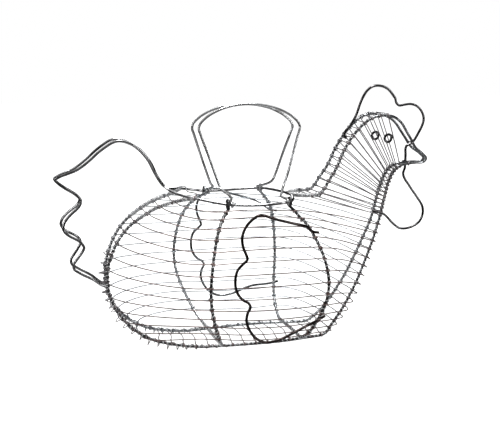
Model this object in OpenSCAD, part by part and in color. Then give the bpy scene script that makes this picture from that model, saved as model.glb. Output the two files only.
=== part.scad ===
// Hen-shaped wire egg basket.
// +X points to the beak, +Y to the hen's left, +Z up; Z = 0 is the table under the basket.

/* [Body] */
// Length of the body, from the tail joint to the upper breast
body_l = 250; // [180:1:340]
// Width of the body across the two hoops
body_w = 152; // [110:1:210]
// Height of the rim wire's centre above the base wires' centres
body_h = 131; // [95:1:180]
// Width of the two base wires at their widest, centre to centre
base_w = 60; // [40:1:84]

/* [Opening] */
// Width of the mouth between the two straight sides of the rim
rim_w = 82; // [60:1:100]
// X of the handle's rear eyelet
eyelet_rear_x = -26; // [-34:1:-18]
// X of the handle's front eyelet
eyelet_front_x = 17; // [10:1:26]
// Reach of the mouth's rounded front end beyond the straight sides
rim_tip_l = 14; // [11:1:20]
// Straight rim left beyond each handle eyelet
rim_end_l = 6.5; // [6:0.5:10]

/* [Tail] */
// Reach of the tail behind the point where its wires cross
tail_l = 90; // [65:1:125]
// Height of the tail's crest above the rim
tail_h = 54; // [38:1:80]

/* [Neck and head] */
// Reach of the head, from the neck's root to the beak
head_l = 116; // [85:1:155]
// Height of the crown above the rim
neck_h = 71; // [50:1:100]
// Width of the head across the crown
head_w = 25; // [18:1:34]
// Height of the comb above the crown
comb_h = 27; // [18:1:40]
// Drop of the wattle below the beak
wattle_h = 64; // [45:1:85]
// Outer diameter of an eye coil
eye_d = 10.2; // [8:0.1:12]

/* [Handles] */
// Height of a handle's top above its hinge line
handle_h = 83; // [55:1:115]
// Width of a handle across its arch
handle_l = 95; // [70:1:125]
// Shift of each arch along the rim, the right one forward and the left one back
handle_skew = 2.6; // [0:0.2:5]

/* [Wings] */
// Length of a wing, from its front hook to its rear lobes
wing_l = 84; // [60:1:95]
// Height of a wing
wing_h = 110; // [80:1:118]
// Space left between a wing and the bowed weave behind it
wing_gap = 0.3; // [0.2:0.1:4]

/* [Wires] */
// Diameter of the rim, outline and hoop wires
frame_d = 2.5; // [1.8:0.1:3.2]
// Diameter of the handle, wing and comb wires
trim_d = 2.4; // [1.6:0.1:2.8]
// Diameter of the eye coils' wire
eye_wire_d = 1.6; // [1.2:0.1:2]
// Diameter of the woven wire
weave_d = 1; // [0.6:0.1:1.2]

/* [Weave] */
// Rows woven round the body
body_rows = 14; // [8:1:16]
// Rows woven round the neck and head
neck_rows = 15; // [9:1:17]
// Bars woven across the base between the two hoops
base_bars = 6; // [2:1:8]
// Outward bow of a body row between the hoops, as a share of the span
row_bow = 0.035; // [0:0.005:0.08]

/* [Fits] */
// Radial clearance between an eyelet and the rim wire
eyelet_fit = 0.06; // [0.02:0.01:0.1]
// Clearance where one wire lies against another
touch_gap = 0.08; // [0.04:0.01:0.2]
// Gap between the two handles where they lean together
lean_gap = 0.3; // [0.2:0.1:1]

/* [Hidden] */
BODY_ROWS = [for (k = [1 : body_rows]) str("body_row_", k)];
NECK_ROWS = [for (k = [1 : neck_rows]) str("neck_row_", k)];

right = -1;
left = 1;
frame_r = frame_d / 2;
trim_r = trim_d / 2;
weave_r = weave_d / 2;
eye_r = eye_wire_d / 2;
// Small step between surfaces of one wire that would otherwise coincide
step = 0.01;
frame_sides = 8;
weave_sides = 5;
// Spacing of the rings that a bent wire is swept through
ring_gap = 6;
row_ring_gap = 14;
// Rings stand with a flat towards the table, so a base wire rests on a flat
flat_r = frame_r * cos(180 / frame_sides);
rim_z = flat_r + body_h;
rim_y = rim_w / 2;
rim_from = eyelet_rear_x - rim_end_l;
rim_to = eyelet_front_x + rim_end_l;

// ---------- directions and smooth curves ----------

function unit(v) = v / norm(v);
// The part of v that is square to t, at unit length
function square_to(v, t) = unit(v - (v * t) * t);
function mirrored(v, side) = [v.x, side * v.y, v.z];
function both_ways(list) = [for (i = [len(list) - 1 : -1 : 0]) list[i]];

// Direction of the smooth curve through points p at point i
function slope(p, i) =
    let (n = len(p) - 1)
    i == 0 ? unit(p[1] - p[0]) :
    i == n ? unit(p[n] - p[n - 1]) :
    let (a = p[i] - p[i - 1], b = p[i + 1] - p[i])
    unit(a * norm(b) / norm(a) + b * norm(a) / norm(b));

// Point at share s of the bend from a to b that leaves along ta and arrives along tb
function bend(a, b, ta, tb, s) =
    let (d = norm(b - a), s2 = s * s, s3 = s2 * s)
    (2 * s3 - 3 * s2 + 1) * a + (s3 - 2 * s2 + s) * d * ta
    + (3 * s2 - 2 * s3) * b + (s3 - s2) * d * tb;

// Centre line of a wire bent through points p, from point first to point last
function bent(p, first, last) = concat(
    [for (i = [first : last - 1])
        let (n = ceil(norm(p[i + 1] - p[i]) / ring_gap))
        for (j = [0 : n - 1]) bend(p[i], p[i + 1], slope(p, i), slope(p, i + 1), j / n)],
    [p[last]]);

// Lengths along a centre line, each with its index, for lookup()
function mileage(q) = [
    for (i = 0, s = 0; i < len(q); s = s + (i < len(q) - 1 ? norm(q[i + 1] - q[i]) : 0), i = i + 1)
        [s, i]];

// Point and direction at share f of a centre line's length
function station(q, f) =
    let (m = mileage(q), x = lookup(f * m[len(m) - 1][0], m), i = min(floor(x), len(q) - 2))
    [q[i] + (x - i) * (q[i + 1] - q[i]), unit(q[i + 1] - q[i])];

// ---------- sweeping a wire along its centre line ----------

function heading(q, i, closed) =
    let (n = len(q))
    closed ? unit(unit(q[(i + 1) % n] - q[i]) + unit(q[i] - q[(i + n - 1) % n])) :
    i == 0 ? unit(q[1] - q[0]) :
    i == n - 1 ? unit(q[i] - q[i - 1]) :
    unit(unit(q[i + 1] - q[i]) + unit(q[i] - q[i - 1]));

// Corners of a wire's rings; up sets the first ring, and every ring of a closed or steady wire
function ring_points(q, r, sides, up, closed, steady) = [
    for (i = 0, t = heading(q, 0, closed), u = square_to(up, t);
         i < len(q);
         i = i + 1,
         t = i < len(q) ? heading(q, i, closed) : t,
         u = square_to(closed || steady ? up : u, t))
        let (v = cross(t, u))
        for (k = [0 : sides - 1])
            let (a = (k + 0.5) * 360 / sides)
            q[i] + r * (cos(a) * u + sin(a) * v)];

function skin_faces(rings, sides, closed, start) = [
    for (i = [0 : rings - (closed ? 1 : 2)], k = [0 : sides - 1], half = [0, 1])
        let (a = start + i * sides, b = start + ((i + 1) % rings) * sides, l = (k + 1) % sides)
        half == 0 ? [a + k, b + k, b + l] : [a + k, b + l, a + l]];

function cap_faces(rings, sides, start) = [
    [for (k = [0 : sides - 1]) start + k],
    [for (k = [sides - 1 : -1 : 0]) start + (rings - 1) * sides + k]];

module wire(q, r, up = [0, 1, 0], steady = false) {
    polyhedron(
        ring_points(q, r, frame_sides, up, false, steady),
        concat(skin_faces(len(q), frame_sides, false, 0), cap_faces(len(q), frame_sides, 0)),
        convexity = 10);
}

module closed_wire(q, r, up, sides = weave_sides) {
    polyhedron(
        ring_points(q, r, sides, up, true, false),
        skin_faces(len(q), sides, true, 0),
        convexity = 10);
}

// Several short wires in one solid body list
module wires(paths, r, up, sides = weave_sides) {
    rings = len(paths[0]);
    polyhedron(
        [for (q = paths) each ring_points(q, r, sides, up, false, false)],
        [for (i = [0 : len(paths) - 1])
            each concat(
                skin_faces(rings, sides, false, i * rings * sides),
                cap_faces(rings, sides, i * rings * sides))],
        convexity = 10);
}

// ---------- the places that the wires are bent through ----------

// Body places follow the body's length, width and height
function on_body(x, y, z) = [x * body_l / 250, y * body_w / 152, flat_r + z * body_h / 131];
function on_base(x, y) = [x * body_l / 250, y * base_w / 60, flat_r];
// Neck and head places are measured from the neck's root
function on_head(x, y, z) = [
    58 * body_l / 250 + x * head_l / 116,
    y * head_w / 25,
    rim_z + z * neck_h / 71];
// Tail places are measured from the point where the tail wires cross
function on_tail(x, y, z) = [
    -84 * body_l / 250 - x * tail_l / 90,
    y,
    rim_z + z * (z > 0 ? tail_h / 54 : body_h / 131)];

tail_joint = on_body(-132.3, 6.5, 56);
rim_rear_joint = [rim_from - 26 * body_l / 250, 0.76 * rim_y, rim_z + 4.5];
rim_front_joint = [rim_to + rim_tip_l - 0.3, 0.12 * rim_y, rim_z];

rear_points = [
    rim_rear_joint, on_body(-68, 21.5, 133), on_body(-78, 18.5, 130.5), on_body(-90, 16, 126),
    on_body(-103, 14.5, 118.5), on_body(-113, 13.5, 111), on_body(-122.5, 11.5, 99),
    on_body(-129, 9.5, 85), on_body(-132.4, 8, 72), tail_joint, on_body(-129.5, 8.5, 44),
    on_body(-123.5, 13, 32), on_body(-115.5, 17.5, 22.5), on_body(-106, 20.2, 14.6),
    on_body(-95, 21, 8.6), on_body(-82, 22, 4.6), on_body(-68, 23.5, 1.8)];
base_points = [
    on_base(-52, 25.6), on_base(-30, 28), on_base(-4, 30), on_base(24, 29.5), on_base(44, 26.5),
    on_base(60, 24)];
breast_points = [
    on_body(67, 23, 2), on_body(71.5, 21, 6.5), on_body(77, 18.7, 12), on_body(82.7, 17.8, 19),
    on_body(88.3, 17, 27), on_body(99, 15, 44.5), on_body(109.6, 12.6, 66.5),
    on_body(118.3, 10.8, 87)];
throat_points = [
    on_head(64, 9.4, -34.5), on_head(67.1, 8.8, -25), on_head(69.3, 8.5, -15.5),
    on_head(71.8, 8, -5.8), on_head(74.8, 7.5, 4.6), on_head(77.2, 7.5, 11), on_head(79.8, 7.4, 16),
    on_head(83.6, 6.8, 20.5), on_head(89.5, 6, 23.5), on_head(95.5, 5.4, 24.6)];
beak_points = [
    on_head(107, 4.2, 25.2), on_head(114.6, 2.9, 25.8), on_head(116.8, 2.6, 28.4),
    on_head(113.6, 3.2, 32.4)];
crown_points = [
    on_head(103.7, 5, 40.3), on_head(99, 6, 47.5), on_head(93.5, 6.6, 55.5),
    on_head(88.4, 7.5, 62.8), on_head(81.5, 8.8, 68.2), on_head(75, 11, 70.4),
    on_head(69, 12.4, 71), on_head(62.5, 12.5, 70.9), on_head(55.5, 12, 68.6)];
nape_points = [
    on_head(39.8, 10.8, 55.3), on_head(29, 11, 39.5), on_head(20.5, 11.8, 22),
    on_head(13.5, 12.8, 12), on_head(9, 13.5, 5), on_head(5.5, 14.8, 1.6), on_head(0, 17, 0.4),
    on_head(-8, 16, 0), rim_front_joint];

outline_points = concat(
    rear_points, base_points, breast_points, throat_points, beak_points, crown_points, nape_points);
rear_last = len(rear_points) - 1;
breast_first = len(rear_points) + len(base_points);
throat_first = breast_first + len(breast_points);
beak_first = throat_first + len(throat_points);
crown_first = beak_first + len(beak_points);
outline_last = len(outline_points) - 1;

// The base wires lie on the table and never dip below it
outline = [for (p = bent(outline_points, 0, outline_last)) [p.x, p.y, max(p.z, flat_r)]];
// Stretches of the outline that the rows are woven on
rear_line = bent(outline_points, 1, rear_last - 2);
breast_line = both_ways(bent(outline_points, breast_first, throat_first + 1));
// These two run back from the face, which stays open, under the jaw and over the crown
jaw_line = both_ways(bent(outline_points, throat_first + 1, throat_first + 8));
crown_line = bent(outline_points, crown_first + 5, outline_last - 1);

// A hoop starts under the rim beside an eyelet and crosses over the base wires
hoop_z = flat_r + frame_d + 3 * touch_gap;
hoop_eye_r = frame_r + touch_gap + frame_r;
rear_hoop_x = eyelet_rear_x - 4.4;
front_hoop_x = eyelet_front_x + 4.4;
rear_hoop_side = [
    [rear_hoop_x, rim_y, rim_z - hoop_eye_r], [rear_hoop_x - 1.6, rim_y + 3, rim_z - hoop_eye_r - 1.2],
    [on_body(-37, 0, 0).x, rim_y + 9.5 * body_w / 152, on_body(0, 0, 123.5).z],
    on_body(-44, 60, 115), on_body(-49, 67.5, 104.5),
    on_body(-52.5, 72.5, 92), on_body(-55, 75.3, 78), on_body(-56, 75.4, 66), on_body(-55.6, 73.8, 55),
    on_body(-53.6, 70, 43.5), on_body(-50, 63.5, 32), on_body(-45.5, 54.5, 20),
    on_body(-41, 44.5, 10.5)];
front_hoop_side = [
    [front_hoop_x, rim_y, rim_z - hoop_eye_r], [front_hoop_x + 1.6, rim_y + 2, rim_z - hoop_eye_r - 1],
    on_body(30, 46, 119.5), on_body(36, 53.5, 112), on_body(41.5, 62.5, 99.5),
    on_body(45.5, 70.5, 86.5), on_body(48, 75.2, 72), on_body(48.6, 75.8, 60), on_body(47.6, 73.5, 48),
    on_body(45.5, 68.5, 36), on_body(42.8, 61, 25), on_body(41, 52, 15), on_body(40, 43, 8.5)];

rear_hoop_base_x = -36 * body_l / 250;
front_hoop_base_x = 39.5 * body_l / 250;
function hoop_base(x) = [for (y = [32, 22, 8, -8, -22, -32]) [x, y * base_w / 60, hoop_z]];
function hoop_points(side_points, x) = concat(
    [for (p = side_points) mirrored(p, right)],
    [for (p = hoop_base(x)) mirrored(p, right)],
    both_ways(side_points));

// Share of a row line that falls halfway between two body rows, nearest to the share asked for
function row_share(k) = (k - 0.3) / (body_rows + 0.4);
function between_rows(share) = row_share(round(share * (body_rows + 0.4)) + 0.5);

hoop_side_last = len(rear_hoop_side) - 1;
rear_hoop = bent(hoop_points(rear_hoop_side, rear_hoop_base_x), 0, 2 * hoop_side_last + 7);
front_hoop = bent(hoop_points(front_hoop_side, front_hoop_base_x), 0, 2 * hoop_side_last + 7);
rear_hoop_line = bent(rear_hoop_side, 1, hoop_side_last);
front_hoop_line = bent(front_hoop_side, 1, hoop_side_last);

// ---------- rim and tail ----------

tail_points = [
    tail_joint, [tail_joint.x - 5, 7.5, tail_joint.z + 2.2], on_tail(60, 9.6, -67.4),
    on_tail(74, 11, -58.8), on_tail(77.4, 11, -56), on_tail(77.9, 11.2, -52.4),
    on_tail(75, 11.6, -47.5), on_tail(69.6, 13, -39.5), on_tail(68.7, 13.6, -37),
    on_tail(69.6, 13.8, -34.5), on_tail(72, 13.4, -31.6), on_tail(80.2, 12, -26.6),
    on_tail(84.6, 11.2, -22.5), on_tail(85.6, 11, -20), on_tail(84.6, 10.4, -15.5),
    on_tail(77.5, 8, -7.5), on_tail(70.6, 6, -1.2), on_tail(69.4, 5, 3), on_tail(72.4, 4.6, 7),
    on_tail(80, 4.6, 12.4), on_tail(89, 4, 19.4), on_tail(90.6, 4, 21.4), on_tail(88.6, 4.4, 23),
    on_tail(80, 6, 26.6), on_tail(72.6, 8, 29.6), on_tail(63.4, 9, 36), on_tail(50.4, 9.4, 47),
    on_tail(37, 10, 53.8), on_tail(23.4, 9.4, 49.6), on_tail(10, 6, 37), on_tail(1.5, 3.6, 20.5),
    on_tail(-3.4, 4.4, 13), on_tail(-9.5, 11, 8.2), on_tail(-17, 22, 5.8), rim_rear_joint,
    [rim_from - 9, rim_y - 2.4, rim_z + 1.2], [rim_from - 3, rim_y - 0.2, rim_z + 0.1],
    [rim_from + 1, rim_y, rim_z]];
rim_front_points = [
    [rim_to - 1, rim_y, rim_z], [rim_to + 2.5, 0.97 * rim_y, rim_z],
    [rim_to + rim_tip_l - 8, 0.83 * rim_y, rim_z], [rim_to + rim_tip_l - 3.6, 0.53 * rim_y, rim_z],
    [rim_to + rim_tip_l - 0.6, 0.2 * rim_y, rim_z], [rim_to + rim_tip_l, 0, rim_z]];
tail_wire = bent(tail_points, 0, len(tail_points) - 1);
rim_front = bent(
    concat(rim_front_points, [for (i = [4 : -1 : 0]) mirrored(rim_front_points[i], right)]), 0, 10);

module rim_side(side) {
    translate([rim_from, side * rim_y, rim_z])
        rotate([0, 90, 0])
            cylinder(h = rim_to - rim_from, r = frame_r + step, $fn = 48);
}

module rim_and_tail_wire() {
    color("silver") {
        wire([for (p = tail_wire) mirrored(p, right)], frame_r - step);
        wire(tail_wire, frame_r - step);
        rim_side(right);
        rim_side(left);
        wire(rim_front, frame_r - step, [0, 0, 1]);
    }
}

// ---------- outline and hoops ----------

module outline_wire(side) {
    color("silver") wire([for (p = outline) mirrored(p, side)], frame_r, steady = true);
}

// Ring at a hoop's end, closed round the rim
module hoop_eye(x, side) {
    translate([x, side * rim_y, rim_z])
        rotate([0, 90, 0])
            rotate([0, 0, 40])
                rotate_extrude($fn = 48)
                    translate([hoop_eye_r, 0])
                        circle(r = frame_r, $fn = 24);
}

module hoop(q, x) {
    color("silver") {
        wire(q, frame_r - step, [1, 0, 0]);
        hoop_eye(x, right);
        hoop_eye(x, left);
    }
}

// ---------- handles ----------

eyelet_r = frame_r + eyelet_fit + trim_r;
arch_y = trim_r + lean_gap / 2;

// Places on a handle: along the rim, out from the middle, up from the hinge line
function on_handle(x, y, z) = [
    (eyelet_rear_x + eyelet_front_x) / 2 + x * handle_l / 95,
    arch_y + (y - 3) * (rim_y - arch_y) / 38,
    rim_z + z * handle_h / 82];
handle_points = [
    [eyelet_rear_x, rim_y - 1, rim_z + eyelet_r], [eyelet_rear_x - 0.3, rim_y - 4, rim_z + eyelet_r + 0.3],
    on_handle(-23.5, 28, 6), on_handle(-26.5, 21, 8.6), on_handle(-28.2, 18, 10.6),
    on_handle(-29.2, 17, 13), on_handle(-31, 16, 18), on_handle(-38, 12, 38), on_handle(-44.6, 7, 57),
    on_handle(-45.9, 6.4, 61), on_handle(-45, 5.9, 65), on_handle(-41, 5.3, 69.4), on_handle(-29, 4.2, 76.6),
    on_handle(-15, 3.4, 80.8), on_handle(0, 3, 82), on_handle(15, 3.4, 80.8), on_handle(30, 4.2, 76.6),
    on_handle(43, 5.3, 69), on_handle(47.2, 5.9, 64.6), on_handle(48.6, 6.4, 60.6),
    on_handle(47.4, 7, 57), on_handle(41, 11.5, 38), on_handle(34.4, 15.4, 18),
    on_handle(32.4, 16, 13), on_handle(31.2, 17, 10.6), on_handle(29.6, 19.5, 8.6),
    on_handle(26, 27, 5.6), [eyelet_front_x + 0.3, rim_y - 4, rim_z + eyelet_r + 0.3],
    [eyelet_front_x, rim_y - 1, rim_z + eyelet_r]];
handle_wire = bent(handle_points, 0, len(handle_points) - 1);
function skewed(p, side) = [p.x - side * handle_skew * (p.z - rim_z) / handle_h, side * p.y, p.z];

// Two turns of the handle's end, wound round the rim
module eyelet(x, side) {
    translate([x, side * rim_y, rim_z])
        rotate([0, 90, 0])
            rotate_extrude($fn = 48)
                difference() {
                    for (turn = [-0.45, 0.45])
                        translate([eyelet_r - 0.05, turn * trim_d])
                            circle(r = trim_r, $fn = 24);
                    translate([0, -2 * trim_d])
                        square([frame_r + step + eyelet_fit, 4 * trim_d]);
                }
}

module handle(side) {
    color("gainsboro") {
        wire([for (p = handle_wire) skewed(p, side)], trim_r, [0, 1, 0]);
        eyelet(eyelet_rear_x, side);
        eyelet(eyelet_front_x, side);
    }
}

// ---------- wings ----------

// Bow of the rows at the wing's lobes, a quarter of the way from the rear hoop to the front one
lobe_bow = 3 * row_bow * (front_hoop_side[6].x - rear_hoop_side[7].x) / 4;
wing_y = body_w / 2 + frame_r + weave_d + lobe_bow + wing_gap + trim_r;
wing_hook_x = 47 * body_l / 250;
function on_wing(x, y, z) = [
    wing_hook_x - x * wing_l / 84,
    wing_y - y,
    flat_r + 17 * body_h / 131 + z * wing_h / 110];
// A wing's two ends are pressed on the front hoop, between two rows
wing_bite = 0.15;
function wing_hook(share) =
    let (s = station(front_hoop_line, between_rows(share)),
         out = unit(cross([1, 0, 0], s[1])))
    s[0] + (frame_r + trim_r - wing_bite) * out;
wing_points = [
    wing_hook(0.22) + [5.4, -1.9, -1.3], wing_hook(0.22), on_wing(18, 11, 96.5), on_wing(34, 5.5, 101.5),
    on_wing(52, 3.5, 107), on_wing(57.4, 2.6, 109.2), on_wing(62.6, 1.6, 110), on_wing(68.6, 1, 107),
    on_wing(74.6, 0.5, 101), on_wing(78, 0, 92.5), on_wing(77, 0, 83.5), on_wing(74.2, 0, 76.6),
    on_wing(73.6, 0, 73.6), on_wing(76, 0, 71), on_wing(81.6, 0, 65.6), on_wing(84, 0, 56),
    on_wing(82.4, 0, 46), on_wing(76.6, 0, 38.6), on_wing(72.4, 0, 36), on_wing(71, 0, 33),
    on_wing(73.2, 0, 28), on_wing(74.4, 0, 21.5), on_wing(71.6, 0, 12.5), on_wing(63.8, 0.6, 3.4),
    on_wing(56, 1.6, 0), on_wing(46, 3, 0.8), on_wing(23, 5.5, 8.6),
    wing_hook(0.77), wing_hook(0.77) + [4.6, -1.4, 1.6]];
wing_wire = bent(wing_points, 0, len(wing_points) - 1);

module wing(side) {
    color("gray") wire([for (p = wing_wire) mirrored(p, side)], trim_r);
}

// ---------- comb, wattle and eyes ----------

// Place and direction on a head line halfway between two neck rows, nearest to the share asked for
function row_gap(line, share) = station(line, round(share * neck_rows) / neck_rows);
function middle(p) = [p.x, 0, p.z];
nape_gap = row_gap(crown_line, 0.37);
throat_gap = row_gap(jaw_line, 0.93);
// The face has no rows, and the comb wire crosses it at these places
forehead_gap = station(bent(outline_points, crown_first, crown_first + 2), 0.18);
chin_gap = station(bent(outline_points, beak_first - 2, beak_first + 1), 0.28);
nape_out = cross([0, 1, 0], unit(middle(nape_gap[1])));
throat_out = cross(unit(middle(throat_gap[1])), [0, 1, 0]);

function on_comb(x, z) = [on_head(x, 0, 0).x, 0, rim_z + neck_h + z * comb_h / 27];
function on_wattle(x, z) = [on_head(x, 0, 0).x, 0, on_head(0, 0, 26).z - z * wattle_h / 64];
// The comb wire enters and leaves the head through gaps between the rows
comb_points = [
    middle(nape_gap[0]), middle(nape_gap[0]) + 3 * nape_out, on_head(39, 0, 61),
    on_comb(44.2, -1.5), on_comb(50.8, 15.2),
    on_comb(55, 22), on_comb(60.6, 26.2), on_comb(67.6, 27), on_comb(76.8, 23.6), on_comb(82, 18),
    on_comb(84.2, 15), on_comb(85.6, 10.6), on_comb(88.2, 8.4), on_comb(92.5, 8.7),
    on_comb(98.8, 9.5), on_comb(105.8, 8), on_comb(111.6, 2.8), on_comb(114.4, -4.6),
    on_comb(112.8, -11.4), on_head(109.8, 0, 53.8), middle(forehead_gap[0]), on_head(97, 0, 40.5),
    middle(chin_gap[0]) + [0, 0, 9], middle(chin_gap[0]), middle(chin_gap[0]) - [0.3, 0, 4.5],
    on_wattle(94.6, 11.6),
    on_wattle(100.4, 22), on_wattle(111, 36.4), on_wattle(115.8, 44), on_wattle(116.6, 51.2),
    on_wattle(113.4, 58.8), on_wattle(106, 63.4), on_wattle(99.4, 65), on_wattle(91.8, 64.2),
    on_wattle(86.6, 60.6), middle(throat_gap[0]) + 5 * throat_out, middle(throat_gap[0]),
    middle(throat_gap[0]) - 4 * throat_out];
comb_wire = bent(comb_points, 0, len(comb_points) - 1);

module comb_and_wattle_wire() {
    color("gray") wire(comb_wire, trim_r);
}

// Bars between the two outline wires, pressed on the comb wire where it crosses them
module comb_ties() {
    color("silver")
        wires(
            [for (s = [nape_gap, forehead_gap, chin_gap, throat_gap])
                [mirrored(s[0], right), mirrored(s[0], left)]],
            weave_r, [0, 0, 1]);
}

eye_place = on_head(71.3, 0, 50);
module eye(side) {
    ring_r = (eye_d - eye_wire_d) / 2 - 0.4 * eye_wire_d;
    color("dimgray")
        translate([eye_place.x, side * (12.2 * head_w / 25 + frame_r + weave_d), eye_place.z])
            rotate([90, 0, 0])
                rotate_extrude($fn = 40)
                    for (turn = [-0.4, 0.4])
                        translate([ring_r + turn * eye_wire_d, 0])
                            circle(r = eye_r, $fn = 20);
}

// ---------- weave ----------

lay = frame_r + touch_gap + weave_r;

// Wraps a taut row round the frame wires it meets: s lists [place, direction] of each wire in turn
function wrapped(s) = [
    for (j = [0 : len(s) - 1])
        let (n = len(s),
             a = s[(j + n - 1) % n][0], c = s[j][0], b = s[(j + 1) % n][0],
             n_in = unit(cross(s[j][1], c - a)), n_out = unit(cross(s[j][1], b - c)),
             turn = acos(min(1, n_in * n_out)),
             reach = lay / cos(turn / 4))
        each [c + reach * n_in, c + reach * unit(n_in + n_out), c + reach * n_out]];

// Direction of a springy row where it meets wire j. Its stretches from odd to even wires are
// nearly straight, and bow outward by row_bow of their length; the others curve round to meet them.
function row_slope(s, j) =
    let (n = len(s), odd = j % 2,
         run = odd == 1 ? s[(j + 1) % n][0] - s[j][0] : s[j][0] - s[(j + n - 1) % n][0],
         out = unit(cross(s[j][1], run)))
    unit(run + (odd == 1 ? 4 : -4) * row_bow * norm(run) * out);

// Springy row bent round outside the frame wires
function sprung(s) =
    let (n = len(s),
         t = [for (j = [0 : n - 1]) row_slope(s, j)],
         q = [for (j = [0 : n - 1]) s[j][0] + lay * unit(cross(s[j][1], t[j]))])
    [for (j = [0 : n - 1])
        let (k = (j + 1) % n, m = ceil(norm(q[k] - q[j]) / row_ring_gap))
        for (i = [0 : m - 1]) bend(q[j], q[k], t[j], t[k], i / m)];

function crossings(lines, f) =
    let (s = [for (q = lines) station(q, f)])
    concat(
        [for (p = s) [mirrored(p[0], right), mirrored(p[1], right)]],
        [for (p = both_ways(s)) [mirrored(p[0], left), mirrored(p[1], left)]]);

// The direction square to a closed row
function row_axis(q) =
    let (n = len(q), c = q[0])
    unit([for (i = 1, s = [0, 0, 0]; i < n; s = s + cross(q[i] - c, q[(i + 1) % n] - c), i = i + 1)
        s][n - 2]);

module row(q) {
    color("lightgray") closed_wire(q, weave_r, row_axis(q));
}

module body_row(k) {
    row(sprung(crossings([rear_line, rear_hoop_line, front_hoop_line, breast_line], row_share(k))));
}

module neck_row(k) {
    row(wrapped(crossings([crown_line, jaw_line], (neck_rows + 0.5 - k) / neck_rows)));
}

module base_bars() {
    base_line = bent(outline_points, rear_last - 2, breast_first);
    pitch = (front_hoop_base_x - rear_hoop_base_x) / (base_bars + 1);
    first = ceil((base_line[0].x - rear_hoop_base_x) / pitch);
    last = floor((base_line[len(base_line) - 1].x - rear_hoop_base_x) / pitch);
    places = [for (k = [first : last]) if (k != 0 && k != base_bars + 1) rear_hoop_base_x + k * pitch];
    lines = [for (x = places)
        let (y = lookup(x, [for (p = base_line) [p.x, p.y]]),
             z = lookup(x, [for (p = base_line) [p.x, max(p.z, flat_r)]]) + lay + touch_gap)
        [[x, -y, z], [x, y, z]]];
    color("lightgray") wires(lines, weave_r, [0, 0, 1]);
}

// Wire across the rim's narrow rear end
module rim_stay() {
    p = rim_rear_joint;
    color("silver") wires([[[p.x, -p.y, p.z - lay], [p.x, p.y, p.z - lay]]], weave_r, [0, 0, 1]);
}

rim_and_tail_wire();
outline_wire(right);  // outline_wire_right
outline_wire(left);  // outline_wire_left
hoop(rear_hoop, rear_hoop_x);  // hoop_rear
hoop(front_hoop, front_hoop_x);  // hoop_front
handle(right);  // handle_right
handle(left);  // handle_left
wing(right);  // wing_right
wing(left);  // wing_left
comb_and_wattle_wire();
eye(right);  // eye_right
eye(left);  // eye_left
base_bars();
rim_stay();
comb_ties();
for (k = [1 : body_rows])
    body_row(k);
for (k = [1 : neck_rows])
    neck_row(k);
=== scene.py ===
import math
import random
from collections import deque

import bpy
import numpy as np
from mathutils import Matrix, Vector


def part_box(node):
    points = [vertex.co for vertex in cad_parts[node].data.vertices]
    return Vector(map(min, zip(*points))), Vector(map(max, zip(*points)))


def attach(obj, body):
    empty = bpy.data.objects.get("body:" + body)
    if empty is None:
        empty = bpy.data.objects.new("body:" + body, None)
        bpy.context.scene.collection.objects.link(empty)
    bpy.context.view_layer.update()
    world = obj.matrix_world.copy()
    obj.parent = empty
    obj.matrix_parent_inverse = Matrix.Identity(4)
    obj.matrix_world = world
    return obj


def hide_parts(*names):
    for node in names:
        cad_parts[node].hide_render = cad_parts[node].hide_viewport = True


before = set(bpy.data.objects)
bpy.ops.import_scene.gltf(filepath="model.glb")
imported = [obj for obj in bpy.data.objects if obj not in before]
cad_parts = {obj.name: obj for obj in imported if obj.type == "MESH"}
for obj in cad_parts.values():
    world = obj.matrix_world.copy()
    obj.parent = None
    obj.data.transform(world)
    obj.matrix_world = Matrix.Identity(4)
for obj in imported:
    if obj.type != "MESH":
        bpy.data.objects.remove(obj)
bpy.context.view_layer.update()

# ---- Rim and tail -----------------------------------------------------------------------------
# One 2.5 mm steel wire, bent cold: it starts at the tail joint, zigzags up as the hen's tail
# feathers, rounds the mouth of the basket and comes back the same way on the other side.
# The whole basket is plated bright after it is bent, woven and welded.
frame_r = 0.00125
# Gap between the rings of a thick wire, and its number of sides
thick_gap, thick_sides = 0.0014, 14


def middles(node, sides, radius):
    """The centre lines of a wire in the frame, found from the rings of corners along it."""
    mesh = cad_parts[node].data
    corners, at = np.unique(np.round([v.co[:] for v in mesh.vertices], 6), axis=0, return_inverse=True)
    at = at.ravel()
    near = [set() for _ in corners]
    for edge in mesh.edges:
        a, b = at[edge.vertices[0]], at[edge.vertices[1]]
        near[a].add(b)
        near[b].add(a)
    free = set(range(len(corners)))

    def patch(first, among, longest):
        found, todo = {first}, [first]
        while todo:
            k = todo.pop()
            for j in (near[k] & among) - found:
                if np.linalg.norm(corners[j] - corners[k]) < longest:
                    found.add(j)
                    todo.append(j)
        return found

    def beyond(ring):
        return set().union(*(near[k] for k in ring)) & free

    lines, tried = [], set()
    for first in range(len(corners)):
        if first not in free or first in tried:
            continue
        ring = patch(first, free, 2.05 * radius * math.sin(math.pi / sides))
        tried |= ring
        if len(ring) != sides:
            continue
        free -= ring
        line = deque([corners[list(ring)].mean(0)])
        around = beyond(ring)
        for grow in (line.append, line.appendleft):
            around &= free
            step = patch(min(around), around, 1) if around else ()
            while len(step) == sides:
                free -= step
                grow(corners[list(step)].mean(0))
                ahead = beyond(step)
                step = patch(min(ahead), ahead, 1) if ahead else ()
        if len(line) > 1:
            lines.append(np.array(line))
    return lines


def unit(v):
    return v / np.linalg.norm(v)


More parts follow.
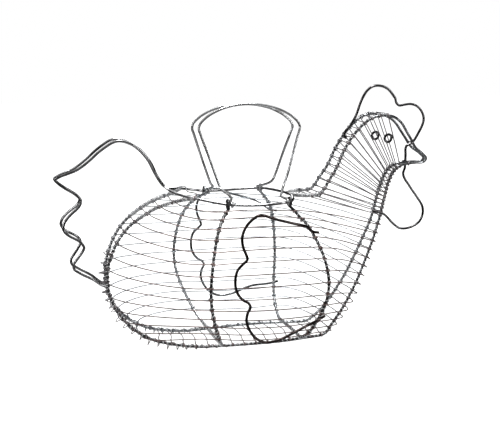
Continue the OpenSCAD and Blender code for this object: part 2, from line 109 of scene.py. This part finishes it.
def eased(points, gap, closed=False):
    """A springy wire's smooth line through points, with a point at least every gap metres."""
    p = np.asarray(points, float)
    chord = (np.roll(p, -1, 0) - p) if closed else np.diff(p, axis=0)
    length = np.linalg.norm(chord, axis=1)
    way = chord / length[:, None]
    slope = np.empty_like(p)
    for i in range(len(p)):
        a, b = (i - 1, i % len(way))
        if not closed and i == 0:
            slope[i] = way[0]
        elif not closed and i == len(p) - 1:
            slope[i] = way[-1]
        else:
            slope[i] = unit(way[a] * length[b] + way[b] * length[a] + 1e-12)
    line = []
    for i in range(len(way)):
        a, b, d = p[i], p[(i + 1) % len(p)], length[i]
        for s in np.arange(max(1, math.ceil(d / gap))) / max(1, math.ceil(d / gap)):
            line.append((2 * s**3 - 3 * s**2 + 1) * a + (s**3 - 2 * s**2 + s) * d * slope[i]
                        + (3 * s**2 - 2 * s**3) * b + (s**3 - s**2) * d * slope[(i + 1) % len(p)])
    return np.array(line if closed else line + [p[-1]])


def drawn_wire(name, lines, radius, sides=12, closed=False):
    """Round wire drawn along each line, its cut ends nipped in a little."""
    corners, faces = [], []
    for line in lines:
        p = np.asarray(line, float)
        r = np.full(len(p), radius)
        if not closed:
            first, last = unit(p[0] - p[1]), unit(p[-1] - p[-2])
            p = np.vstack([p[0] + first * radius * 0.3, p, p[-1] + last * radius * 0.3])
            r = np.concatenate([[radius * 0.72], r, [radius * 0.72]])
        way = np.roll(p, -1, 0) - np.roll(p, 1, 0) if closed else np.gradient(p, axis=0)
        way /= np.linalg.norm(way, axis=1)[:, None]
        up = [unit(np.cross(way[0], [0.31, 0.87, 0.38]))]
        for t in way[1:]:
            up.append(unit(up[-1] - t * (up[-1] @ t)))
        up = np.array(up)
        across = np.cross(way, up)
        twist = math.atan2(up[-1] @ across[0], up[-1] @ up[0]) if closed else 0
        untwist = twist * np.arange(len(p)) / len(p)
        turn = (2 * math.pi * np.arange(sides) / sides)[None, :] - untwist[:, None]
        rings = p[:, None] + r[:, None, None] * (
            np.cos(turn)[..., None] * up[:, None] + np.sin(turn)[..., None] * across[:, None])
        start = len(corners)
        corners.extend(rings.reshape(-1, 3).tolist())
        for i in range(len(p) if closed else len(p) - 1):
            a, b = start + i * sides, start + (i + 1) % len(p) * sides
            faces += [(a + k, a + (k + 1) % sides, b + (k + 1) % sides, b + k) for k in range(sides)]
        if not closed:
            faces.append([start + k for k in reversed(range(sides))])
            faces.append([start + (len(p) - 1) * sides + k for k in range(sides)])
    mesh = bpy.data.meshes.new(name)
    mesh.from_pydata(corners, [], faces)
    mesh.polygons.foreach_set("use_smooth", [len(f) == 4 for f in faces])
    wire = bpy.data.objects.new(name, mesh)
    bpy.context.scene.collection.objects.link(wire)
    return wire


class Value:
    """A shader socket in a sum: each operator adds its Math node."""

    def __init__(self, mix, socket):
        self.mix, self.socket = mix, socket

    def math(self, operation, a, b=0.0):
        return self.mix.node("ShaderNodeMath", {"operation": operation}, {0: a, 1: b})

    def __add__(self, other):
        return self.math("ADD", self, other)

    def __sub__(self, other):
        return self.math("SUBTRACT", self, other)

    def __rsub__(self, other):
        return self.math("SUBTRACT", other, self)

    def __mul__(self, other):
        return self.math("MULTIPLY", self, other)

    def held(self):
        """Kept between 0 and 1."""
        return self.mix.node("ShaderNodeClamp", {}, {"Value": self})

    __radd__ = __add__
    __rmul__ = __mul__


class Mix:
    """The node recipe of a material or of the studio round it."""

    def __init__(self, owner):
        owner.use_nodes = True
        self.owner, self.tree = owner, owner.node_tree
        self.tree.nodes.clear()

    def node(self, kind, settings, sockets, result=0):
        made = self.tree.nodes.new(kind)
        for key, setting in settings.items():
            if key == "stops":
                while len(made.color_ramp.elements) < len(setting):
                    made.color_ramp.elements.new(0.5)
                for stop, (place, colour) in zip(made.color_ramp.elements, setting):
                    stop.position, stop.color = place, (*colour, 1)
            else:
                setattr(made, key, setting)
        for key, value in sockets.items():
            if isinstance(value, Value):
                self.tree.links.new(value.socket, made.inputs[key])
            else:
                made.inputs[key].default_value = value
        return Value(self, made.outputs[result] if made.outputs else None)

    def close(self, kind, surface):
        self.node(kind, {}, {"Surface": surface})

    def blend(self, share, first, second):
        """Colour that goes from first to second as share goes from 0 to 1."""
        return self.node("ShaderNodeMix", {"data_type": "RGBA"}, {0: share, 6: first, 7: second}, 2)


def bright_plate(name, bright, dull, rough, cloud_scale=70.0, right_side_shade=None, sheen=1.0):
    """Bright chrome plate on drawn wire: it clouds over in patches, and the wire's drawing
    marks and small pits still show through it. The optional tone for the right side is painted
    shade: it darkens the side of the wire towards the camera. sheen falls from 1 where the plate
    is thin and greyish."""
    mix = Mix(bpy.data.materials.new(name))
    place = mix.node("ShaderNodeTexCoord", {}, {}, "Object")
    cloud = mix.node("ShaderNodeTexNoise", {}, {"Vector": place, "Scale": cloud_scale, "Detail": 5.0})
    marks = mix.node("ShaderNodeTexNoise", {}, {"Vector": place, "Scale": 1400.0, "Detail": 3.0})
    pits = ((mix.node("ShaderNodeTexNoise", {}, {"Vector": place, "Scale": 520.0, "Detail": 2.0}) - 0.62)
            * 9.0).held()
    clouded = ((cloud - 0.42) * 4.5).held()
    tone = mix.blend(clouded, (*bright, 1), (*dull, 1))
    # Painted shade: the tone darkens towards the hen's right side, the side towards the camera. It is full
    # below y = -36 mm, half at y = 0 and none above y = +36 mm.
    if right_side_shade:
        across = mix.node("ShaderNodeSeparateXYZ", {}, {"Vector": place}, "Y")
        tone = mix.blend((0.5 - across * 14.0).held(), tone, (*right_side_shade, 1))
    colour = mix.blend(pits * 0.4, tone, (0.05, 0.045, 0.04, 1))
    skin = mix.node("ShaderNodeBump", {}, {
        "Strength": 0.1, "Distance": 0.00002, "Height": marks * 0.5 - pits})
    metal = mix.node("ShaderNodeBsdfPrincipled", {}, {
        "Base Color": colour, "Metallic": sheen, "Specular Tint": (0.5, 0.5, 0.5, 1),
        "Roughness": clouded * 0.12 + pits * 0.25 + rough, "Normal": skin})
    mix.close("ShaderNodeOutputMaterial", metal)
    return mix.owner


tail_right, rim_front, tail_left = sorted(
    (line for line in middles("rim_and_tail_wire", 8, frame_r) if len(line) > 5),
    key=lambda line: line[:, 1].mean())
tail_right = tail_right[:: 1 if tail_right[0, 0] < tail_right[-1, 0] else -1]
tail_left = tail_left[:: 1 if tail_left[0, 0] > tail_left[-1, 0] else -1]
rim_front = rim_front[:: 1 if rim_front[0, 1] < 0 else -1]
rim_line = eased(np.vstack([tail_right, rim_front, tail_left]), thick_gap)
rim = drawn_wire("rim_and_tail", [rim_line], frame_r, thick_sides)
rim.data.materials.append(bright_plate("rim_plate", (0.46, 0.46, 0.47), (0.10, 0.10, 0.10), 0.05))
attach(rim, "basket")
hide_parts("rim_and_tail_wire")

# ---- Outline wires ----------------------------------------------------------------------------
# A pair of 2.5 mm wires draws the hen's outline, one each side: from the rear of the mouth down
# to the table, along it, up the breast, round the beak and crown and back to the mouth.
# They are spot welded to the rim wire where they meet it.
outlines = {}
# Its third tone (0.06) is painted shade, laid on the hen's right side, towards the camera.
outline_plate = bright_plate(
    "outline_plate", (0.45, 0.47, 0.49), (0.16, 0.165, 0.17), 0.07, right_side_shade=(0.06, 0.06, 0.062), sheen=0.9)
for side in ("right", "left"):
    line = max(middles("outline_wire_" + side, 8, frame_r), key=len)
    outlines[side] = eased(line[:: 1 if line[0, 2] < 0.14 and line[0, 0] < 0 else -1], thick_gap)
    wire = drawn_wire("outline_" + side, [outlines[side]], frame_r, thick_sides)
    wire.data.materials.append(outline_plate)
    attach(wire, "basket")
    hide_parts("outline_wire_" + side)

# ---- Hoops ------------------------------------------------------------------------------------
# Two 2.5 mm cross hoops give the body its width. Each end is closed into an eye round the rim
# beside a handle, and the bottom of the hoop lies across the base wires.


def wound(middle, axis, start, way, turns, pitch, slack=0.0):
    """Wire wound round an axis: it leaves the point start in the direction way. pitch is its
    step along the axis in a turn, and slack is how far it stands off halfway round."""
    axis = unit(np.asarray(axis, float))
    rise = (start - middle) @ axis
    out = start - middle - rise * axis
    radius = np.linalg.norm(out)
    out = out / radius
    on = np.cross(axis, out)
    on = on if on @ way > 0 else -on
    turn = np.linspace(0, 2 * math.pi * turns, round(14 * turns) + 1)[:, None]
    reach = radius + slack * np.sin(turn / 2 / turns) ** 2
    along = rise + pitch * turn / 2 / math.pi
    return middle + axis * along + reach * (np.cos(turn) * out + np.sin(turn) * on)


def nearest(line, point):
    """The place on a line nearest to a point, and the line's direction there."""
    i = int(np.argmin(((line - point) ** 2).sum(1)))
    way = unit(line[min(i + 1, len(line) - 1)] - line[max(i - 1, 0)])
    return line[i] + ((point - line[i]) @ way) * way, way


hoops = {}
eye_turns, eye_pitch = 1.05, 0.0006
for end in ("rear", "front"):
    line = max(middles("hoop_" + end, 8, frame_r), key=len)
    hoops[end] = eased(line[:: 1 if line[0, 1] < 0 else -1], thick_gap)
    eyes, away = [], [-1 if end == "rear" else 1, 0, 0]
    for tip, before in ((hoops[end][0], hoops[end][3]), (hoops[end][-1], hoops[end][-4])):
        middle = nearest(rim_line, tip)[0]
        eyes.append(wound(middle, away, tip, tip - before, eye_turns, eye_pitch))
    path = np.vstack([eyes[0][:0:-1], hoops[end], eyes[1][1:]])
    wire = drawn_wire("hoop-" + end, [path], frame_r, thick_sides)
    wire.data.materials.append(outline_plate)
    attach(wire, "basket")
    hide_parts("hoop_" + end)

# ---- Woven rows -------------------------------------------------------------------------------
# A long 1 mm wire is woven round the body and the neck by hand. It runs from frame wire to
# frame wire in a slightly bowed line, and takes a full turn round each one that it meets.
weave_r = 0.0005
# Gap between the rings of a thin wire, and its number of sides
thin_gap, thin_sides = 0.002, 6
# A ring of the row belongs to a turn when it is this near to a frame wire, and to the same turn
# as the ring before when it follows this close
turn_reach, turn_step = 2.1 * frame_r, 0.0026
# Length of straight wire before and after a turn, its step along the frame wire and its slack
turn_lead, turn_pitch, turn_slack = 0.0015, 0.001, 0.0007
random.seed(7)
frame_lines = [*outlines.values(), *hoops.values()]
# Its brownish third tone (0.14, 0.10, 0.095) is painted shade, laid on the rows of the hen's right side,
# towards the camera.
woven_plate = bright_plate(
    "woven_plate", (0.34, 0.37, 0.40), (0.22, 0.24, 0.26), 0.2, 40.0, (0.14, 0.10, 0.095), 0.7)


def woven(node):
    """A row's path: the bowed runs, and a full turn round each frame wire that they meet."""
    rings = max(middles(node, 5, weave_r), key=len)
    rings = np.roll(rings, -int(np.argmax(np.linalg.norm(rings - np.roll(rings, 1, 0), axis=1))), 0)
    stops = []
    for ring in rings:
        middle, along = min((nearest(line, ring) for line in frame_lines),
                            key=lambda place: np.linalg.norm(place[0] - ring))
        free = np.linalg.norm(middle - ring) > turn_reach
        if (free or not stops or stops[-1][0] is None
                or np.linalg.norm(stops[-1][2][-1] - ring) > turn_step):
            stops.append((None if free else middle, along, []))
        stops[-1][2].append(ring)
    path = []
    for i, (middle, along, stop) in enumerate(stops):
        if middle is None:
            path += stop
            continue
        along = along if along[2] < 0 else -along
        before, after = stops[i - 1][2][-1], stops[(i + 1) % len(stops)][2][0]
        in_, out = (unit(p - middle - ((p - middle) @ along) * along) for p in (stop[0], stop[-1]))
        turns = 1 + math.acos(min(1, in_ @ out)) / 2 / math.pi
        first = middle + in_ * (frame_r + weave_r) - along * weave_r
        turned = wound(middle, along, first, stop[0] - before, turns, turn_pitch,
                       random.uniform(0, turn_slack))
        path += [first + turn_lead * unit(before - first), *turned,
                 turned[-1] + turn_lead * unit(after - turned[-1])]
    return [[x, y, max(z, weave_r)] for x, y, z in path]


for node in sorted(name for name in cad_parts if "_row_" in name):
    path = eased(woven(node), thin_gap, True)
    wire = drawn_wire(node.replace("row", "weave"), [path], weave_r, thin_sides, True)
    wire.data.materials.append(woven_plate)
    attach(wire, "basket")
    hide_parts(node)

# ---- Base, stay and ties ----------------------------------------------------------------------
# Short lengths of the same thin wire cross the base, the rear of the rim and the head. Each is
# twisted once round the frame wire at both its ends.
twist_turns, twist_pitch = 1.2, 0.0009
for node, bow in (("base_bars", 0.0035), ("rim_stay", 0.0), ("comb_ties", 0.0)):
    runs = []
    for bar in middles(node, 5, weave_r):
        a, b = sorted((bar[0], bar[-1]), key=lambda end: end[1])
        ends = []
        for tip, other in ((a, b), (b, a)):
            middle, along = min((nearest(line, tip) for line in frame_lines),
                                key=lambda m: np.linalg.norm(m[0] - tip))
            lift = np.array([0, 0, frame_r + weave_r])
            ends.append(wound(middle, along, middle + lift, tip - other, twist_turns, twist_pitch))
        half = (a + b) / 2 + [bow, 0, (ends[0][0] - a)[2]]
        path = np.array([*ends[0][::-1], half, *ends[1]])
        path[:, 2] = np.maximum(path[:, 2], weave_r)
        runs.append(eased(path, thin_gap))
    wire = drawn_wire(node.replace("_", "-"), runs, weave_r, thin_sides)
    wire.data.materials.append(woven_plate)
    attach(wire, "basket")
    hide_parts(node)

# ---- Bindings ---------------------------------------------------------------------------------
# Between the rows the thin wire runs on along each frame wire, wound loosely by hand, so it
# stands off in small loops. Where the outline wires meet the rim it is wound tight and close.
bind_r, bind_sides, bind_steps = 0.00028, 5, 12
# At the rear of the base it is a stouter wire that stands off in wider loops
loop_r = 0.0004
# The loops open away from this height in the middle of the body
body_middle_z = 0.075
binding_plate = bright_plate(
    "binding_plate", (0.72, 0.73, 0.74), (0.3, 0.3, 0.31), 0.12, 160.0, sheen=0.35)


def bound(line, first, last, pitch, stand, lift=0.0):
    """Thin wire wound along part of a line, between shares first and last of its length. Its
    loops stand off by up to stand, and all of it by lift."""
    run = np.concatenate([[0], np.cumsum(np.linalg.norm(np.diff(line, axis=0), axis=1))])
    s, turn, path = first * run[-1], random.uniform(0, 6), []
    loose = 0.5
    while s < last * run[-1]:
        p = np.array([np.interp(s, run, line[:, k]) for k in range(3)])
        q = np.array([np.interp(s + 0.001, run, line[:, k]) for k in range(3)])
        way = unit(q - p)
        out = p - np.array([0, 0, body_middle_z])
        out = unit(out - (out @ way) * way)
        across = np.cross(way, out)
        reach = frame_r + bind_r + lift + loose * stand * max(0.0, math.cos(turn)) ** 1.5
        place = p + reach * (math.cos(turn) * out + math.sin(turn) * across)
        place[2] = max(place[2], bind_r)
        path.append(place)
        step = 2 * math.pi / bind_steps
        if int((turn + step) / 2 / math.pi) > int(turn / 2 / math.pi):
            loose = random.uniform(0.25, 1.0)
        turn += step
        s += pitch / bind_steps * random.uniform(0.8, 1.2)
    return eased(path, thin_gap)


face = middles("neck_row_15", 5, weave_r)[0]
for side, line in outlines.items():
    near_side = face[face[:, 1] < 0] if side == "right" else face[face[:, 1] > 0]
    jaw, crown = sorted(int(np.argmin(((line - p) ** 2).sum(1))) / len(line) for p in (
        near_side[near_side[:, 2].argmin()], near_side[near_side[:, 2].argmax()]))
    windings = [bound(line, 0.0, jaw, 0.0041, 0.0008), bound(line, crown, 1.0, 0.0036, 0.0012),
                bound(line, 0.0, 0.075, 0.0014, 0.0009, 0.0002),
                bound(line, 0.955, 1.0, 0.0013, 0.0008, 0.0002)]
    wire = drawn_wire("binding_" + side, windings, bind_r, bind_sides)
    wire.data.materials.append(binding_plate)
    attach(wire, "basket")
    wide = bound(line, 0.12, 0.34, 0.0085, 0.0045, 0.0003)
    loops = drawn_wire("loops_" + side, [wide], loop_r, thin_sides)
    loops.data.materials.append(woven_plate)
    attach(loops, "basket")
for end, line in hoops.items():
    winding = bound(line, 0.01, 0.99, 0.0044, 0.0005)
    wire = drawn_wire("binding_hoop_" + end, [winding], bind_r, bind_sides)
    wire.data.materials.append(binding_plate)
    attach(wire, "basket")

# ---- Handles ----------------------------------------------------------------------------------
# Two bail handles of 2.4 mm wire stand over the mouth and lean together. Each foot is wound a
# turn and a third round the straight side of the rim, loose enough for the handle to swing outwards.
trim_r = 0.0012
foot_turns, foot_pitch = 1.3, 1.9 * trim_r
handle_plate = bright_plate("handle_plate", (0.6, 0.61, 0.62), (0.25, 0.25, 0.25), 0.05, sheen=0.85)
for side in ("right", "left"):
    node = "handle_" + side
    line = max(middles(node, 8, trim_r), key=len)
    line = line[:: 1 if line[0, 0] < line[-1, 0] else -1]
    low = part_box(node)[0].z
    feet = []
    for tip, before in ((line[0], line[2]), (line[-1], line[-3])):
        middle = nearest(rim_line, tip)[0]
        reach = middle[2] - low - trim_r
        way = np.array([0, tip[1], 0])
        start = middle + [-foot_turns * foot_pitch / 2, 0, reach]
        feet.append(wound(middle, [1, 0, 0], start, way, foot_turns, foot_pitch))
    path = np.vstack([feet[0][::-1], line[1:-1], feet[1]])
    wire = drawn_wire("bail_" + side, [eased(path, thick_gap)], trim_r, thick_sides)
    wire.data.materials.append(handle_plate)
    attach(wire, node)
    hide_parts(node)

# ---- Wings ------------------------------------------------------------------------------------
# A scalloped wing of 2.4 mm wire stands off each side of the body. Both its ends are turned
# in and fixed on the front hoop.
# Its third tone (0.05) is painted shade, laid on the hen's right side, towards the camera.
wing_plate = bright_plate(
    "wing_plate", (0.30, 0.31, 0.32), (0.14, 0.14, 0.145), 0.05, right_side_shade=(0.05, 0.04, 0.038))
for side in ("right", "left"):
    line = max(middles("wing_" + side, 8, trim_r), key=len)
    wire = drawn_wire("wing-" + side, [eased(line, thick_gap)], trim_r, thick_sides)
    wire.data.materials.append(wing_plate)
    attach(wire, "basket")
    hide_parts("wing_" + side)

# ---- Comb and wattle --------------------------------------------------------------------------
# One 2.4 mm wire rises from the nape as the comb, drops through the head behind the beak and
# comes out below as the wattle, and its end is caught at the throat.
line = max(middles("comb_and_wattle_wire", 8, trim_r), key=len)
comb = drawn_wire("comb_and_wattle", [eased(line, 0.0012)], trim_r, thick_sides)
comb.data.materials.append(wing_plate)
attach(comb, "basket")
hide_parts("comb_and_wattle_wire")

# ---- Eyes -------------------------------------------------------------------------------------
# Each eye is a 1.6 mm wire wound into a flat double ring and fixed on the rows at the side of
# the head.
eye_r = 0.0008
coil_turn = 4.1 * math.pi
eye_plate = bright_plate("eye_plate", (0.10, 0.10, 0.105), (0.03, 0.03, 0.03), 0.12)
for side in ("right", "left"):
    low, high = (np.array(corner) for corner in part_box("eye_" + side))
    middle = (low + high) / 2
    outer = (high[2] - low[2]) / 2 - eye_r
    coil = [
        middle + (outer - 0.5 * eye_r * turn / math.pi) * np.array([math.cos(turn), 0, math.sin(turn)])
        for turn in np.linspace(0, coil_turn, 60)]
    wire = drawn_wire("eye-" + side, [coil], eye_r, 12)
    wire.data.materials.append(eye_plate)
    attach(wire, "basket")
    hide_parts("eye_" + side)

# ---- Studio -----------------------------------------------------------------------------------
# A pale table and a white room. The bright wire mirrors a room that is light above and below and
# dark round the sides, with a few tall light panels: that gives plated wire its dark streaks.
mesh = bpy.data.meshes.new("floor")
mesh.from_pydata([(-4, -4, 0), (4, -4, 0), (4, 4, 0), (-4, 4, 0)], [], [(0, 1, 2, 3)])
floor = bpy.data.objects.new("floor", mesh)
bpy.context.scene.collection.objects.link(floor)
mix = Mix(bpy.data.materials.new("table_top"))
grain = mix.node("ShaderNodeTexNoise", {}, {
    "Vector": mix.node("ShaderNodeTexCoord", {}, {}, "Object"), "Scale": 30.0, "Detail": 3.0})
paint = mix.node("ShaderNodeBsdfPrincipled", {}, {
    "Base Color": mix.blend(grain, (0.30, 0.30, 0.30, 1), (0.34, 0.34, 0.34, 1)), "Roughness": 0.8,
    "Emission Color": (1, 1, 1, 1), "Emission Strength": 0.97})
mix.close("ShaderNodeOutputMaterial", paint)
mesh.materials.append(mix.owner)
floor.visible_glossy = False

room = Mix(bpy.data.worlds.new("room"))
bpy.context.scene.world = room.owner
way = room.node("ShaderNodeTexCoord", {}, {}, "Generated")
height = room.node("ShaderNodeSeparateXYZ", {}, {"Vector": way}, "Z")
greys = ((0.0, 0.6), (0.2, 0.35), (0.4, 0.05), (0.5, 0.01), (0.66, 0.015), (0.78, 0.15), (0.9, 0.8), (1.0, 1.3))
walls = room.node(
    "ShaderNodeValToRGB", {"stops": [(place, (grey, grey, grey)) for place, grey in greys]},
    {"Fac": height * 0.5 + 0.5})
dim = room.node("ShaderNodeBackground", {}, {"Color": walls, "Strength": 1.0})
white = room.node("ShaderNodeBackground", {}, {"Color": (1, 1, 1, 1), "Strength": 1.0})
seen = room.node("ShaderNodeLightPath", {}, {}, "Is Camera Ray")
both = room.node("ShaderNodeMixShader", {}, {0: seen, 1: dim, 2: white})
room.close("ShaderNodeOutputWorld", both)

for name, place, size, energy in (
        ("overhead", (0.1, -0.1, 1.5), (0.5, 0.5), 26),
        ("panel_left", (-1.3, -0.6, 0.6), (0.25, 1.0), 7),
        ("panel_right", (1.2, -0.9, 0.6), (0.25, 1.0), 7),
        ("panel_back", (0.3, 1.5, 0.6), (0.3, 1.0), 6)):
    light = bpy.data.objects.new(name, bpy.data.lights.new(name, "AREA"))
    light.data.shape, light.data.energy = "RECTANGLE", energy
    light.data.size, light.data.size_y = size
    light.location = place
    light.rotation_euler = (Vector((0, 0, 0.1)) - light.location).to_track_quat("-Z", "Y").to_euler()
    light.visible_camera = False
    bpy.context.scene.collection.objects.link(light)

# The camera stands a little to the tail side of the hen's right flank, and a little above it
aim = Vector((0, 0, 0.114))
turn, climb, away = math.radians(-16.46), math.radians(10.03), 0.850
camera = bpy.data.objects.new("camera", bpy.data.cameras.new("camera"))
camera.location = aim + away * Vector((
    math.sin(turn) * math.cos(climb), -math.cos(turn) * math.cos(climb), math.sin(climb)))
camera.rotation_euler = (aim - camera.location).to_track_quat("-Z", "Y").to_euler()
camera.data.lens = 66.81
bpy.context.scene.collection.objects.link(camera)
bpy.context.scene.camera = camera
bpy.context.scene.view_settings.view_transform = "Standard"
